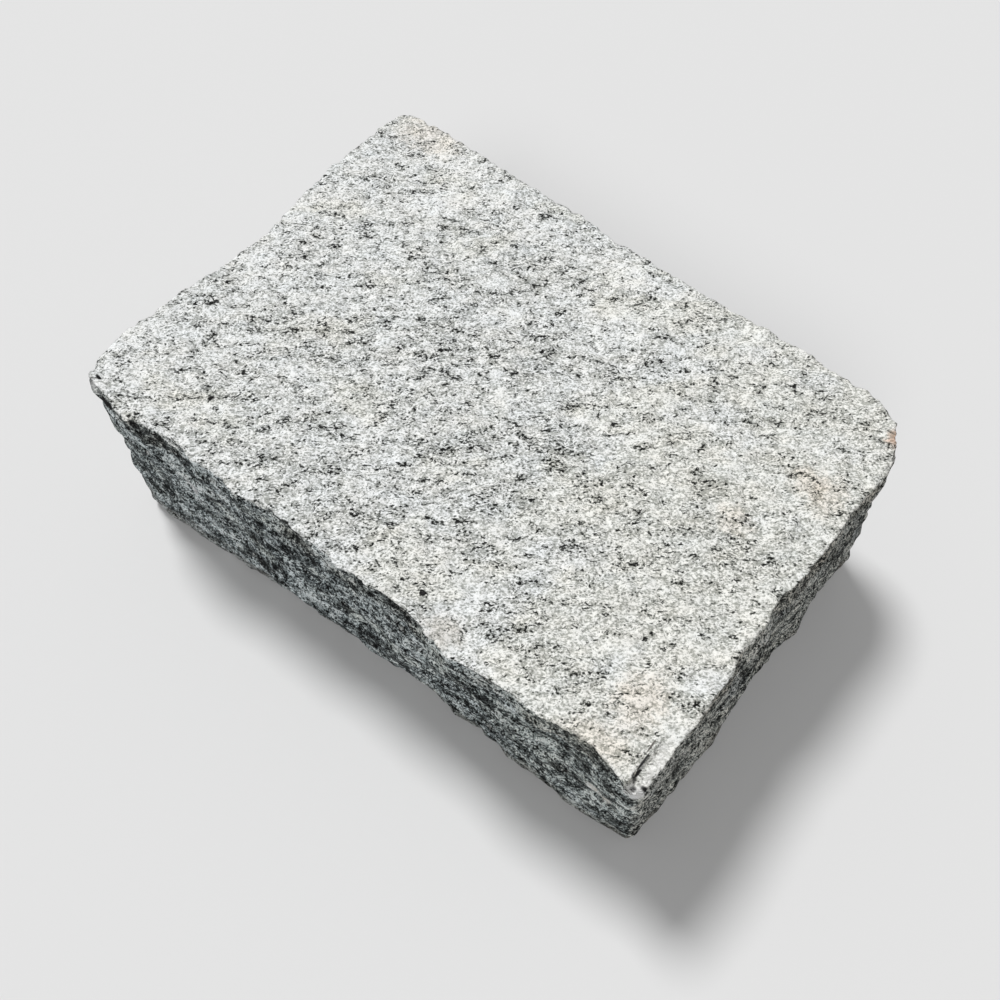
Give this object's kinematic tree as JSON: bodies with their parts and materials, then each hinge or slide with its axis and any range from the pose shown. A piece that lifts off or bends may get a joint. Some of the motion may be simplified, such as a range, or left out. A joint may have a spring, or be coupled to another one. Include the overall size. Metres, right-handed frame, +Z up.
{
  "type": "granite belgian block",
  "caption": "Hand-split granite paving block: a slab-like cuboid with a flat top, rough split sides, scalloped edges and a sliver broken off one top corner.",
  "frame": {"origin": "on the ground, under the middle of the block's box", "axes": "+X along the long sides, +Y from the front side to the back side, +Z up"},
  "size_m": [0.259, 0.187, 0.088],
  "materials": {
    "granite": "rough split light grey granite with thin dark flecks lying one way and a few faint rust stains"
  },
  "bodies": {
    "root": {"block": "granite"}
  },
  "joints": []
}
